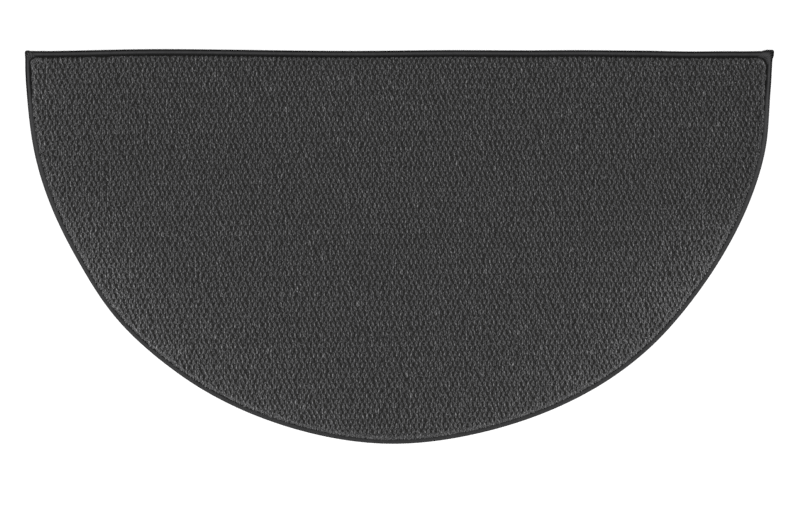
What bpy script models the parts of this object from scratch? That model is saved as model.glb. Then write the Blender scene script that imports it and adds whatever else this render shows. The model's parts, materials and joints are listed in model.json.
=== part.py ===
"""Half round hearth rug: a looped-pile cloth cut to a half circle, with a cloth tape
folded over its edge. One tape follows the curve and ends in folded corners, and a
second tape covers the straight edge between them.

Metres, +Z up. +X runs along the straight edge, +Y points across it to the hearth,
and the origin is on the floor under the middle of the rug.
"""

import math
from dataclasses import dataclass

import bmesh
import bpy

# Plan of the rug
ARC_RADIUS = 0.5839
ARC_CENTRE_X = -0.0009
ARC_CENTRE_Y = 0.2760
STRAIGHT_EDGE_Y = 0.3056
ARC_STEPS = 88
SIDE_STEPS = 5
STRAIGHT_STEPS = 30
CORNER_STEPS = 3
RIGHT_SIDE_LEAN = 0.0016

# Cloth, through its thickness
PILE_TOP = 0.0070
PILE_RIM = 0.0014
TONGUE_BOTTOM = 0.0012
TONGUE_TOP = 0.0042

# Binding tape, folded over the edge of the cloth
TAPE_THICKNESS = 0.0009
TAPE_TOP = 0.0054
CLEARANCE = 0.0003
ROUND_STEPS = 2

# Width of tape that shows on top, from the outer edge to the cloth
STRAIGHT_WIDTH = 0.0090
SIDE_WIDTH = 0.0078
CURVE_WIDTH = 0.0060
SIDE_WIDTH_UNTIL = 12.0
CURVE_WIDTH_FROM = 38.0

# Folded ends of the curved tape, at the two corners
LEFT_FOLD_LENGTH = 0.0065
LEFT_FOLD_DEPTH = 0.0120
LEFT_FOLD_RISE = 0.0012
LEFT_FOLD_SPREAD = 0.0006
RIGHT_FOLD_LENGTH = 0.0190
RIGHT_FOLD_DEPTH = 0.0140
RIGHT_FOLD_RISE = 0.0022
RIGHT_FOLD_SPREAD = 0.0020
FOLD_CORNER_RADIUS = 0.0020
LEFT_SEAM = 0.0088
RIGHT_SEAM = 0.0190
CLOTH_CORNER_RADIUS = 0.0060
RIGHT_CLOTH_CORNER_RADIUS = 0.0120

# How far a splitting block reaches past the tape on each side
BLOCK_MARGIN = 0.0050


@dataclass(frozen=True)
class Finish:
    """Colour, roughness and metallic value of one material."""

    name: str
    colour: tuple
    roughness: float
    metallic: float = 0.0


PILE_FINISH = Finish("charcoal_loop_pile", (0.047, 0.047, 0.048, 1.0), 0.95)
CURVE_TAPE_FINISH = Finish("curved_charcoal_tape", (0.040, 0.040, 0.041, 1.0), 0.85)
STRAIGHT_TAPE_FINISH = Finish("straight_charcoal_tape", (0.038, 0.038, 0.039, 1.0), 0.85)


@dataclass(frozen=True)
class CurveWave:
    """A crest or a dip of the curved edge, by its angle below the right-hand side."""

    degrees: float
    outward: float


@dataclass(frozen=True)
class StraightWave:
    """A crest or a dip of the straight edge, by its distance from the middle."""

    along: float
    outward: float


CURVE_WAVES = (
    CurveWave(0.0, -0.0018),
    CurveWave(4.0, -0.0030),
    CurveWave(13.5, 0.0021),
    CurveWave(35.5, -0.0015),
    CurveWave(50.0, 0.0013),
    CurveWave(75.5, -0.0029),
    CurveWave(94.0, 0.0005),
    CurveWave(106.0, -0.0001),
    CurveWave(126.0, 0.0020),
    CurveWave(137.0, 0.0034),
    CurveWave(151.0, -0.0019),
    CurveWave(164.0, -0.0009),
    CurveWave(175.5, -0.0029),
    CurveWave(180.0, -0.0017),
)

STRAIGHT_WAVES = (
    StraightWave(-0.580, -0.0014),
    StraightWave(-0.375, 0.0019),
    StraightWave(-0.070, -0.0009),
    StraightWave(0.086, 0.0004),
    StraightWave(0.198, -0.0001),
    StraightWave(0.273, 0.0004),
    StraightWave(0.385, -0.0005),
    StraightWave(0.455, -0.0020),
    StraightWave(0.497, -0.0013),
    StraightWave(0.555, -0.0016),
    StraightWave(0.586, -0.0014),
)


@dataclass(frozen=True)
class Inset:
    """Distances inward from the rug's edge, the same or wider on the straight edge."""

    curve: float
    side: float
    straight: float
    left_corner: float
    right_corner: float
    folds: bool


def clear_scene():
    """Remove every object of the open file."""
    for item in list(bpy.data.objects):
        bpy.data.objects.remove(item, do_unlink=True)


def new_collection(name):
    """Add a collection to the scene."""
    collection = bpy.data.collections.new(name)
    bpy.context.scene.collection.children.link(collection)
    return collection


def new_material(finish):
    """Make a Principled material of one finish."""
    material = bpy.data.materials.new(finish.name)
    material.use_nodes = True
    shader = material.node_tree.nodes["Principled BSDF"]
    shader.inputs["Base Color"].default_value = finish.colour
    shader.inputs["Roughness"].default_value = finish.roughness
    shader.inputs["Metallic"].default_value = finish.metallic
    material.diffuse_color = finish.colour
    return material


def ease(start, end, share):
    """Pass from start to end along half a cosine wave."""
    share = min(max(share, 0.0), 1.0)
    return start + (end - start) * (1.0 - math.cos(math.pi * share)) / 2.0


def wave_height(waves, place_of, place):
    """Height of the uneven edge at a place between the crests and dips of a table."""
    if place <= place_of(waves[0]):
        return waves[0].outward
    for before, after in zip(waves, waves[1:]):
        if place <= place_of(after):
            share = (place - place_of(before)) / (place_of(after) - place_of(before))
            return ease(before.outward, after.outward, share)
    return waves[-1].outward


def curve_wave(degrees):
    """Outward shift of the curved edge."""
    return wave_height(CURVE_WAVES, lambda wave: wave.degrees, degrees)


def straight_wave(along):
    """Outward shift of the straight edge."""
    return wave_height(STRAIGHT_WAVES, lambda wave: wave.along, along)


def curve_inset(inset, degrees):
    """Inset on the curve, which widens towards both corners."""
    from_corner = min(degrees, 180.0 - degrees)
    share = (from_corner - SIDE_WIDTH_UNTIL) / (CURVE_WIDTH_FROM - SIDE_WIDTH_UNTIL)
    return ease(inset.side, inset.curve, share)


def curve_point(inset, degrees):
    """Point of the curved edge, from the right-hand side round to the left."""
    angle = math.radians(degrees)
    radius = ARC_RADIUS + curve_wave(degrees) - curve_inset(inset, degrees)
    return (
        ARC_CENTRE_X + radius * math.cos(angle),
        ARC_CENTRE_Y - radius * math.sin(angle),
    )


def fold_share(distance, length):
    """How much of a corner fold's flare is reached at a distance from the corner."""
    return ease(1.0, 0.0, (distance / length - 0.45) / 0.55)


def side_x(inset, y, right):
    """Place of the short straight side between the curve and the straight edge."""
    sign = 1.0 if right else -1.0
    x = curve_point(inset, 0.0 if right else 180.0)[0]
    if right:
        x += RIGHT_SIDE_LEAN * (y - ARC_CENTRE_Y) / (STRAIGHT_EDGE_Y - ARC_CENTRE_Y)
    if inset.folds:
        spread = RIGHT_FOLD_SPREAD if right else LEFT_FOLD_SPREAD
        depth = RIGHT_FOLD_DEPTH if right else LEFT_FOLD_DEPTH
        x += sign * spread * fold_share(STRAIGHT_EDGE_Y - y, depth)
    return x


def straight_y(inset, x):
    """Place of the straight edge at x, raised at the folded corners."""
    y = STRAIGHT_EDGE_Y + straight_wave(x) - inset.straight
    if inset.folds:
        left_distance = x - side_x(inset, STRAIGHT_EDGE_Y, False)
        right_distance = side_x(inset, STRAIGHT_EDGE_Y, True) - x
        y += LEFT_FOLD_RISE * fold_share(left_distance, LEFT_FOLD_LENGTH)
        y += RIGHT_FOLD_RISE * fold_share(right_distance, RIGHT_FOLD_LENGTH)
    return y


def rounded_corner(corner_x, corner_y, radius, right):
    """Quarter turn between a side and the straight edge, running from right to left."""
    sign = 1.0 if right else -1.0
    centre = (corner_x - sign * radius, corner_y - radius)
    turn = [
        (
            centre[0] + sign * radius * math.cos(math.pi / 2.0 * step / CORNER_STEPS),
            centre[1] + radius * math.sin(math.pi / 2.0 * step / CORNER_STEPS),
        )
        for step in range(CORNER_STEPS + 1)
    ]
    return turn if right else turn[::-1]


def corner_place(inset, right):
    """Where the side and the straight edge would meet without their rounded corner."""
    sign = 1.0 if right else -1.0
    radius = inset.right_corner if right else inset.left_corner
    x = side_x(inset, STRAIGHT_EDGE_Y - inset.straight - radius, right)
    return x, straight_y(inset, x - sign * radius)


def side_points(inset, radius, right):
    """Points up one short side, from the curve to where its corner starts."""
    top = corner_place(inset, right)[1] - radius
    heights = [
        ARC_CENTRE_Y + (top - ARC_CENTRE_Y) * step / SIDE_STEPS
        for step in range(1, SIDE_STEPS)
    ]
    return [(side_x(inset, y, right), y) for y in heights]


def straight_points(inset):
    """Points along the straight edge from right to left, closer together at the folds."""
    start = corner_place(inset, True)[0] - inset.right_corner
    end = corner_place(inset, False)[0] + inset.left_corner
    plain = [
        start + (end - start) * step / STRAIGHT_STEPS for step in range(1, STRAIGHT_STEPS)
    ]
    folds = []
    if inset.folds:
        folds += [start - RIGHT_FOLD_LENGTH * share for share in (0.25, 0.45, 0.65, 0.80)]
        folds += [end + LEFT_FOLD_LENGTH * share for share in (0.30, 0.50, 0.70)]
    return [(x, straight_y(inset, x)) for x in sorted(plain + folds, reverse=True)]


def outline(inset):
    """Closed outline at an inset: curve, right side, straight edge and left side."""
    curve = [
        curve_point(inset, 180.0 - 180.0 * step / ARC_STEPS) for step in range(ARC_STEPS + 1)
    ]
    left_turn = rounded_corner(*corner_place(inset, False), inset.left_corner, False)
    right_turn = rounded_corner(*corner_place(inset, True), inset.right_corner, True)
    return (
        curve
        + side_points(inset, inset.right_corner, True)
        + right_turn
        + straight_points(inset)
        + left_turn
        + side_points(inset, inset.left_corner, False)[::-1]
    )


def edge_inset(distance):
    """Inset of the same width all round, which follows the folded corners."""
    corner = max(FOLD_CORNER_RADIUS - distance, FOLD_CORNER_RADIUS / 4.0)
    return Inset(distance, distance, distance, corner, corner, True)


def cloth_inset(gap):
    """Inset of the cloth that shows, a gap inside the tape's inner edge."""
    return Inset(
        CURVE_WIDTH + gap,
        SIDE_WIDTH + gap,
        STRAIGHT_WIDTH + gap,
        CLOTH_CORNER_RADIUS,
        RIGHT_CLOTH_CORNER_RADIUS,
        False,
    )


def slab(name, collection, points, bottom, top, rim):
    """Closed flat body with an outline, from bottom to top, its rims rounded by rim."""
    shape = bpy.data.curves.new(name, "CURVE")
    shape.dimensions = "2D"
    shape.fill_mode = "BOTH"
    shape.extrude = (top - bottom) / 2.0 - rim
    shape.bevel_depth = rim
    shape.bevel_resolution = ROUND_STEPS
    spline = shape.splines.new("POLY")
    spline.points.add(len(points) - 1)
    for point, (x, y) in zip(spline.points, points):
        point.co = (x, y, 0.0, 1.0)
    spline.use_cyclic_u = True
    guide = bpy.data.objects.new(name + "_outline", shape)
    collection.objects.link(guide)
    guide.location.z = (bottom + top) / 2.0
    bpy.context.view_layer.update()
    evaluated = guide.evaluated_get(bpy.context.evaluated_depsgraph_get())
    mesh = bpy.data.meshes.new_from_object(evaluated)
    mesh.name = name
    body = bpy.data.objects.new(name, mesh)
    collection.objects.link(body)
    body.matrix_world = guide.matrix_world
    bpy.data.objects.remove(guide, do_unlink=True)
    close_mesh(mesh)
    return body


def close_mesh(mesh):
    """Weld the loose caps of a filled outline and turn its faces outward."""
    work = bmesh.new()
    work.from_mesh(mesh)
    bmesh.ops.remove_doubles(work, verts=work.verts, dist=0.00001)
    bmesh.ops.recalc_face_normals(work, faces=work.faces)
    if work.calc_volume(signed=True) < 0.0:
        bmesh.ops.reverse_faces(work, faces=work.faces)
    work.to_mesh(mesh)
    work.free()


def block(name, collection, low, high):
    """Box between two corners, for splitting one piece from another."""
    mesh = bpy.data.meshes.new(name)
    work = bmesh.new()
    bmesh.ops.create_cube(work, size=1.0)
    for vertex in work.verts:
        vertex.co = [
            near if share < 0.0 else far
            for near, far, share in zip(low, high, vertex.co)
        ]
    work.to_mesh(mesh)
    work.free()
    body = bpy.data.objects.new(name, mesh)
    collection.objects.link(body)
    return body


def combine(target, other, operation):
    """Add a live Boolean modifier with another body."""
    modifier = target.modifiers.new(operation.lower() + "_" + other.name, "BOOLEAN")
    modifier.operation = operation
    modifier.object = other
    modifier.solver = "EXACT"


def hide_cutter(body):
    """Show a cutter as wires and keep it out of renders."""
    body.display_type = "WIRE"
    body.hide_render = True


def finish_body(body, material):
    """Give a body its material and shade its rounded faces smooth."""
    body.data.materials.clear()
    body.data.materials.append(material)
    body.data.shade_smooth()
    body.data.set_sharp_from_angle(angle=math.radians(40.0))


def straight_zone(gap):
    """Corners of the box that holds the straight tape between the folded corners."""
    left = side_x(edge_inset(0.0), STRAIGHT_EDGE_Y, False) + LEFT_SEAM
    right = side_x(edge_inset(0.0), STRAIGHT_EDGE_Y, True) - RIGHT_SEAM
    low = (left + gap, STRAIGHT_EDGE_Y - STRAIGHT_WIDTH - BLOCK_MARGIN, -BLOCK_MARGIN)
    high = (right - gap, STRAIGHT_EDGE_Y + BLOCK_MARGIN, TAPE_TOP + BLOCK_MARGIN)
    return low, high


def build_field(collection, cutters):
    """Looped-pile cloth: full thickness where it shows, a thin tongue in the tape."""
    tongue_rim = (TONGUE_TOP - TONGUE_BOTTOM) / 2.0
    tongue_edge = edge_inset(TAPE_THICKNESS + CLEARANCE + tongue_rim)
    field = slab(
        "rug_field", collection, outline(tongue_edge), TONGUE_BOTTOM, TONGUE_TOP, tongue_rim
    )
    pile_points = outline(cloth_inset(CLEARANCE + PILE_RIM))
    pile = slab("pile_form", cutters, pile_points, 0.0, PILE_TOP, PILE_RIM)
    combine(field, pile, "UNION")
    hide_cutter(pile)
    return field


def build_bindings(collection, cutters):
    """Two tapes with a U section: one round the curve, one on the straight edge."""
    outer_rim = TAPE_TOP / 2.0
    outer_points = outline(edge_inset(outer_rim))
    curved = slab("curved_binding", collection, outer_points, 0.0, TAPE_TOP, outer_rim)
    straight = slab("straight_binding", collection, outer_points, 0.0, TAPE_TOP, outer_rim)

    inner_rim = outer_rim - TAPE_THICKNESS
    fold_points = outline(edge_inset(TAPE_THICKNESS + inner_rim))
    fold = slab(
        "fold_space", cutters, fold_points, TAPE_THICKNESS, TAPE_TOP - TAPE_THICKNESS, inner_rim
    )
    window_points = outline(cloth_inset(0.0))
    window = slab(
        "cloth_window", cutters, window_points, -BLOCK_MARGIN, TAPE_TOP + BLOCK_MARGIN, 0.0
    )
    kept_straight = block("straight_zone", cutters, *straight_zone(CLEARANCE))
    cut_from_curved = block("curved_split", cutters, *straight_zone(0.0))

    combine(curved, cut_from_curved, "DIFFERENCE")
    combine(straight, kept_straight, "INTERSECT")
    for tape in (curved, straight):
        combine(tape, fold, "DIFFERENCE")
        combine(tape, window, "DIFFERENCE")
    for cutter in (fold, window, kept_straight, cut_from_curved):
        hide_cutter(cutter)
    return curved, straight


def build():
    """Build the rug's three pieces."""
    clear_scene()
    rug = new_collection("half_round_hearth_rug")
    cutters = new_collection("cutters")
    field = build_field(rug, cutters)
    curved, straight = build_bindings(rug, cutters)
    finish_body(field, new_material(PILE_FINISH))
    finish_body(curved, new_material(CURVE_TAPE_FINISH))
    finish_body(straight, new_material(STRAIGHT_TAPE_FINISH))


build()
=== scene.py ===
"""The looks of a half round hearth rug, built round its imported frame.

The rug is put together as its maker would: a woven backing, rows of yarn loops
drawn up through it, and two lengths of cloth tape folded over its edge and sewn
down. Lengths are in metres, and +Y points from the curve to the straight edge.
"""
import json
import logging
import math
from dataclasses import dataclass
from enum import Enum

import bpy
import numpy as np
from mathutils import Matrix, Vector
from mathutils.bvhtree import BVHTree
from mathutils.kdtree import KDTree

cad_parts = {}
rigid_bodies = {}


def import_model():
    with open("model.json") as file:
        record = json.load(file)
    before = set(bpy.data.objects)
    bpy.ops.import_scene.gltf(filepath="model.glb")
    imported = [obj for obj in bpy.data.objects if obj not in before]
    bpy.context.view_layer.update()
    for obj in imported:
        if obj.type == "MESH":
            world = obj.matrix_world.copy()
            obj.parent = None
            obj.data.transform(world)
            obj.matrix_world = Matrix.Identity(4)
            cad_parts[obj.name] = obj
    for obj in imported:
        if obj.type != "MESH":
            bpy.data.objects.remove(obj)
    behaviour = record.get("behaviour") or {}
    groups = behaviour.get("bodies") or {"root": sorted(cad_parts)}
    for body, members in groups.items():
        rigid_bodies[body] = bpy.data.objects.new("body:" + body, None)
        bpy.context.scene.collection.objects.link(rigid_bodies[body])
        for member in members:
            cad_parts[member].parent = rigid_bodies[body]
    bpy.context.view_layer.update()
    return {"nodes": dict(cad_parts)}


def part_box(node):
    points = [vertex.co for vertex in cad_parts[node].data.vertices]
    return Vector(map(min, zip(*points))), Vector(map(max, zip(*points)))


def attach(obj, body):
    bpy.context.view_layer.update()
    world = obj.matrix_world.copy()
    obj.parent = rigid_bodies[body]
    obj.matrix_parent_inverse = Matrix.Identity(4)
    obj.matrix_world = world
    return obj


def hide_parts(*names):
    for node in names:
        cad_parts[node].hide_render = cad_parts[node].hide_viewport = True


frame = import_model()

MM = 0.001
BODY = "root"
PILE_SLOT = "loop_pile"
TAPE_SLOT = "binding_tape"
BAKE_MAP = "OFBake"
BAKE_MARGIN = 0.03
YARN_MAP = "yarn"
CLOTH_MAP = "cloth"
SEED = 4127
TURN = 2.0 * math.pi
CORNER_NEAR = 50.0 * MM
CORNER_FAR = 110.0 * MM
LOG = logging.getLogger("hearth_rug")


def smooth_share(low: float, high: float, value: np.ndarray) -> np.ndarray:
    """Returns 0 below low, 1 above high and an eased share between them."""
    share = np.clip((value - low) / (high - low), 0.0, 1.0)
    return share * share * (3.0 - 2.0 * share)


def fade_share(low: float, high: float, value: np.ndarray) -> np.ndarray:
    """Returns 1 below low, 0 above high and an eased share between them."""
    return 1.0 - smooth_share(low, high, value)


def add_column(points: np.ndarray, value: float) -> np.ndarray:
    """Returns points with one more number, the same for all, such as their height."""
    return np.concatenate([points, np.full((len(points), 1), value)], axis=1)


def store(mesh: bpy.types.Mesh, name: str, values: np.ndarray) -> None:
    """Stores a number for each point of a mesh."""
    attribute = mesh.attributes.new(name, "FLOAT", "POINT")
    attribute.data.foreach_set("value", np.asarray(values, dtype=np.float32))


def map_faces(mesh: bpy.types.Mesh, name: str, places: np.ndarray) -> None:
    """Adds a map to a mesh, with a place for each corner of each face."""
    mesh.uv_layers.new(name=name).data.foreach_set("uv", places.ravel())


def path_places(points: np.ndarray) -> np.ndarray:
    """Returns how far along a line of points each point lies."""
    steps = np.linalg.norm(np.diff(points, axis=0), axis=1)
    return np.concatenate([[0.0], np.cumsum(steps)])


def along_path(points: np.ndarray, places: np.ndarray) -> np.ndarray:
    """Returns the points at the given places along a line of points."""
    known = path_places(points)
    return np.stack([np.interp(places, known, column) for column in points.T], axis=1)


def new_piece(name: str, data: bpy.types.ID) -> bpy.types.Object:
    """Adds an object that holds a mesh or curve to the scene."""
    piece = bpy.data.objects.new(name, data)
    bpy.context.scene.collection.objects.link(piece)
    return piece


def face_outward(mesh: bpy.types.Mesh) -> None:
    """Turns a closed mesh round if its faces point inward.

    Args:
        mesh: the closed mesh, whose signed volume shows which way it faces.
    """
    mesh.calc_loop_triangles()
    points = np.zeros(len(mesh.vertices) * 3)
    mesh.vertices.foreach_get("co", points)
    points = points.reshape(-1, 3)
    corners = np.zeros(len(mesh.loop_triangles) * 3, dtype=np.int32)
    mesh.loop_triangles.foreach_get("vertices", corners)
    a, b, c = (points[corners.reshape(-1, 3)[:, k]] for k in range(3))
    if (a * np.cross(b, c)).sum() < 0.0:
        mesh.flip_normals()


def plain_mesh(source: bpy.types.Object, name: str) -> bpy.types.Object:
    """Turns an object with live modifiers into a plain mesh object.

    Args:
        source: the object to evaluate, which is removed.
        name: the name of the finished piece.

    Returns:
        The finished piece, at the origin and without modifiers.
    """
    bpy.context.view_layer.update()
    evaluated = source.evaluated_get(bpy.context.evaluated_depsgraph_get())
    mesh = bpy.data.meshes.new_from_object(evaluated)
    mesh.name = name
    source.modifiers.clear()
    bpy.data.objects.remove(source, do_unlink=True)
    return new_piece(name, mesh)


class NodeSteps:
    """Steps that geometry and material nodes share."""

    tree: bpy.types.NodeTree

    def feed(self, socket: bpy.types.NodeSocket, value: object) -> None:
        """Links a socket, or sets its plain value."""
        if isinstance(value, bpy.types.NodeSocket):
            self.tree.links.new(value, socket)
        else:
            socket.default_value = value

    def calculate(self, operation: str, *values: object) -> bpy.types.NodeSocket:
        """Returns the result of a sum."""
        node = self.tree.nodes.new("ShaderNodeMath")
        node.operation = operation
        for socket, value in zip(node.inputs, values):
            self.feed(socket, value)
        return node.outputs[0]

    def product(self, *values: object) -> bpy.types.NodeSocket:
        """Returns two or more numbers multiplied together."""
        result = values[0]
        for value in values[1:]:
            result = self.calculate("MULTIPLY", result, value)
        return result


class NodeTree(NodeSteps):
    """A Geometry Nodes tree with named inputs, written step by step."""

    def __init__(self, name: str, inputs: dict[str, str]) -> None:
        """Starts a tree that takes a geometry and the named inputs, by socket type."""
        self.tree = bpy.data.node_groups.new(name, "GeometryNodeTree")
        self.sockets: dict[str, str] = {}
        for title, kind in {"Geometry": "Geometry", **inputs}.items():
            socket = self.tree.interface.new_socket(title, in_out="INPUT", socket_type="NodeSocket" + kind)
            self.sockets[title] = socket.identifier
        self.tree.interface.new_socket("Geometry", in_out="OUTPUT", socket_type="NodeSocketGeometry")
        self.entry = self.tree.nodes.new("NodeGroupInput")
        self.exit = self.tree.nodes.new("NodeGroupOutput")

    def given(self, name: str) -> bpy.types.NodeSocket:
        """Returns the socket that brings a named input."""
        return self.entry.outputs[name]

    def step(self, kind: str, inputs: dict[str, object], **settings: object) -> bpy.types.Node:
        """Adds a node.

        Args:
            kind: the node's type.
            inputs: sockets to link, or plain values, by input name.
            settings: the node's own options.

        Returns:
            The new node.
        """
        node = self.tree.nodes.new(kind)
        for option, value in settings.items():
            setattr(node, option, value)
        for name, value in inputs.items():
            self.feed(next(s for s in node.inputs if s.enabled and s.name == name), value)
        return node

    def random(self, low: float, high: float, seed: int) -> bpy.types.NodeSocket:
        """Returns a random number for each point, between two limits."""
        node = self.step("FunctionNodeRandomValue", {"Min": low, "Max": high, "Seed": seed})
        return next(s for s in node.outputs if s.enabled)

    def vector(self, x: object, y: object, z: object) -> bpy.types.NodeSocket:
        """Returns a vector of three numbers."""
        return self.step("ShaderNodeCombineXYZ", {"X": x, "Y": y, "Z": z}).outputs[0]

    def end(self, instances: bpy.types.NodeSocket, material: bpy.types.NodeSocket) -> None:
        """Realizes the instances, smooths and dresses them, and closes the tree."""
        real = self.step("GeometryNodeRealizeInstances", {"Geometry": instances})
        smooth = self.step("GeometryNodeSetShadeSmooth", {"Geometry": real.outputs[0]})
        dressed = self.step(
            "GeometryNodeSetMaterial",
            {"Geometry": smooth.outputs[0], "Material": material},
        )
        self.tree.links.new(dressed.outputs[0], self.exit.inputs[0])

    def put_on(self, piece: bpy.types.Object, values: dict[str, object]) -> None:
        """Adds the tree to an object as a modifier and sets its named inputs."""
        modifier = piece.modifiers.new(self.tree.name, "NODES")
        modifier.node_group = self.tree
        for name, value in values.items():
            modifier[self.sockets[name]] = value


class FinishSheet(NodeSteps):
    """A material's nodes, written as short steps."""

    sheen_roughness: float = 0.6

    def __init__(self, name: str, roughness: float, sheen: float, shine: float) -> None:
        """Starts a material with its constants on the shader's own sockets."""
        self.material = bpy.data.materials.new(name)
        self.material.use_nodes = True
        self.tree = self.material.node_tree
        self.shader = next(n for n in self.tree.nodes if n.type == "BSDF_PRINCIPLED")
        self.shader.inputs["Roughness"].default_value = roughness
        self.shader.inputs["Sheen Weight"].default_value = sheen
        self.shader.inputs["Sheen Roughness"].default_value = self.sheen_roughness
        self.shader.inputs["Specular IOR Level"].default_value = shine
        self.place = self.tree.nodes.new("ShaderNodeTexCoord").outputs["Object"]

    def parts(self, vector: bpy.types.NodeSocket) -> bpy.types.NodeOutputs:
        """Returns the three numbers of a vector."""
        node = self.tree.nodes.new("ShaderNodeSeparateXYZ")
        self.feed(node.inputs[0], vector)
        return node.outputs

    def uv(self, name: str) -> bpy.types.NodeOutputs:
        """Returns the two numbers of a map on the surface."""
        node = self.tree.nodes.new("ShaderNodeUVMap")
        node.uv_map = name
        return self.parts(node.outputs[0])

    def attribute(self, name: str) -> bpy.types.NodeSocket:
        """Returns a number that the mesh stores."""
        node = self.tree.nodes.new("ShaderNodeAttribute")
        node.attribute_name = name
        return node.outputs["Fac"]

    def noise(self, scale: float, detail: float = 2.0) -> bpy.types.NodeSocket:
        """Returns soft noise over the piece, about 0.5 on average."""
        node = self.tree.nodes.new("ShaderNodeTexNoise")
        node.inputs["Scale"].default_value = scale
        node.inputs["Detail"].default_value = detail
        self.feed(node.inputs["Vector"], self.place)
        return node.outputs["Fac"]

    def flecks(self, scale: float) -> bpy.types.NodeSocket:
        """Returns a random number, from 0 to 1, for each small cell of the piece."""
        node = self.tree.nodes.new("ShaderNodeTexVoronoi")
        node.inputs["Scale"].default_value = scale
        self.feed(node.inputs["Vector"], self.place)
        return self.parts(node.outputs["Color"])[0]

    def remap(
        self, value: object, low: float, high: float, to_low: float, to_high: float
    ) -> bpy.types.NodeSocket:
        """Returns a number moved from one range to another, held at both ends."""
        node = self.tree.nodes.new("ShaderNodeMapRange")
        for socket, number in zip(node.inputs, (value, low, high, to_low, to_high)):
            self.feed(socket, number)
        return node.outputs[0]

    def vary(self, value: object, low: float, high: float, depth: float) -> bpy.types.NodeSocket:
        """Returns a shade about 1, darker and lighter by a depth as a number goes up a range."""
        return self.remap(value, low, high, 1.0 - depth, 1.0 + depth)

    def mottle(
        self, scale: float, depth: float, spread: float, detail: float = 2.0
    ) -> bpy.types.NodeSocket:
        """Returns a shade about 1 that wanders over the piece.

        Args:
            scale: how fine the noise is.
            depth: how much darker and lighter the shade gets.
            spread: how far from its middle the noise has its full effect.
            detail: how many finer layers the noise has.

        Returns:
            The shade.
        """
        return self.vary(self.noise(scale, detail), 0.5 - spread, 0.5 + spread, depth)

    def ridges(self, value: object, pitch: float) -> bpy.types.NodeSocket:
        """Returns rounded ridges, from 0 to 1, one for each pitch of a number."""
        turn = self.calculate("MULTIPLY", value, TURN / pitch)
        return self.calculate("MULTIPLY_ADD", self.calculate("SINE", turn), 0.5, 0.5)

    def colour(self, base: tuple[float, float, float], shade: object) -> None:
        """Colours the shader with a base colour times a shade."""
        node = self.tree.nodes.new("ShaderNodeVectorMath")
        node.operation = "SCALE"
        node.inputs[0].default_value = base
        self.feed(node.inputs["Scale"], shade)
        self.tree.links.new(node.outputs[0], self.shader.inputs["Base Color"])

    def bump(self, height: object, depth: float) -> None:
        """Roughens the surface by a height of 0 to 1 times a depth."""
        node = self.tree.nodes.new("ShaderNodeBump")
        node.inputs["Distance"].default_value = depth
        self.feed(node.inputs["Height"], height)
        self.tree.links.new(node.outputs[0], self.shader.inputs["Normal"])


@dataclass(frozen=True)
class YarnFinish:
    """Two-ply heathered yarn, with painted shade where it goes down into the pile and painted light on the
    top of each strand.
    """

    colour: tuple[float, float, float] = (0.0382, 0.0382, 0.0387)
    turns: float = 3.0
    dark_height: float = 1.0 * MM
    light_height: float = 3.8 * MM
    depth_shade_share: float = 0.56
    painted_side_shade: float = 0.75
    painted_crest_light: float = 1.1
    ply: float = 0.5
    fibre_scale: float = 2400.0
    fibre: float = 0.25
    heather_scale: float = 800.0
    heather: float = 0.6
    relief: float = 0.35 * MM
    fibre_relief: float = 0.35

    def make(self) -> bpy.types.Material:
        """Returns the material."""
        sheet = FinishSheet("charcoal_yarn", roughness=0.92, sheen=0.02, shine=0.12)
        along, around, _ = sheet.uv(YARN_MAP)
        # The second strand's map starts at 1, and its twist runs the other way
        strand = sheet.remap(around, 1.0, 1.001, 1.0, -1.0)
        slant = sheet.calculate("MULTIPLY_ADD", strand, around, sheet.attribute("phase"))
        ply = sheet.ridges(sheet.calculate("MULTIPLY_ADD", along, self.turns, slant), 1.0)
        fibre = sheet.noise(self.fibre_scale)
        height = sheet.parts(sheet.place)[2]
        shade = sheet.product(
            sheet.attribute("tone"),
            # Painted shade: the yarn darkens the lower it goes into the pile
            sheet.remap(height, self.dark_height, self.light_height, self.depth_shade_share, 1.0),
            sheet.calculate("MULTIPLY_ADD", strand, sheet.attribute("blend"), 1.0),
            # Painted light on each strand's top and painted shade on its sides and underside
            sheet.remap(sheet.ridges(around, 1.0), 0.5, 1.0, self.painted_side_shade, self.painted_crest_light),
            sheet.vary(ply, 0.0, 1.0, self.ply),
            sheet.vary(fibre, 0.3, 0.7, self.fibre),
            sheet.vary(sheet.flecks(self.heather_scale), 0.0, 1.0, self.heather),
        )
        sheet.colour(self.colour, shade)
        sheet.bump(sheet.calculate("MULTIPLY_ADD", fibre, self.fibre_relief, ply), self.relief)
        return sheet.material


@dataclass(frozen=True)
class TapeFinish:
    """Closely woven cotton tape with fine ribs across it, and a fold darkened with painted shade through its
    stored tone.
    """

    colour: tuple[float, float, float] = (0.0265, 0.0265, 0.027)
    rib_pitch: float = 0.55 * MM
    thread_pitch: float = 0.42 * MM
    thread_share: float = 0.55
    weave_dark: float = 0.82
    weave_light: float = 1.14
    wear_scale: float = 160.0
    wear: float = 0.1
    lint_scale: float = 1900.0
    lint: float = 0.12
    relief: float = 0.10 * MM

    def make(self) -> bpy.types.Material:
        """Returns the material."""
        sheet = FinishSheet("charcoal_tape", roughness=0.88, sheen=0.0, shine=0.05)
        along, across, _ = sheet.uv(CLOTH_MAP)
        threads = sheet.ridges(across, self.thread_pitch)
        weave = sheet.product(
            sheet.ridges(along, self.rib_pitch), sheet.remap(threads, 0.0, 1.0, self.thread_share, 1.0)
        )
        shade = sheet.product(
            sheet.remap(weave, 0.0, 1.0, self.weave_dark, self.weave_light),
            sheet.mottle(self.wear_scale, self.wear, spread=0.15, detail=4.0),
            sheet.mottle(self.lint_scale, self.lint, spread=0.15),
            sheet.attribute("tone"),
        )
        sheet.colour(self.colour, shade)
        sheet.bump(weave, self.relief)
        return sheet.material


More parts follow.
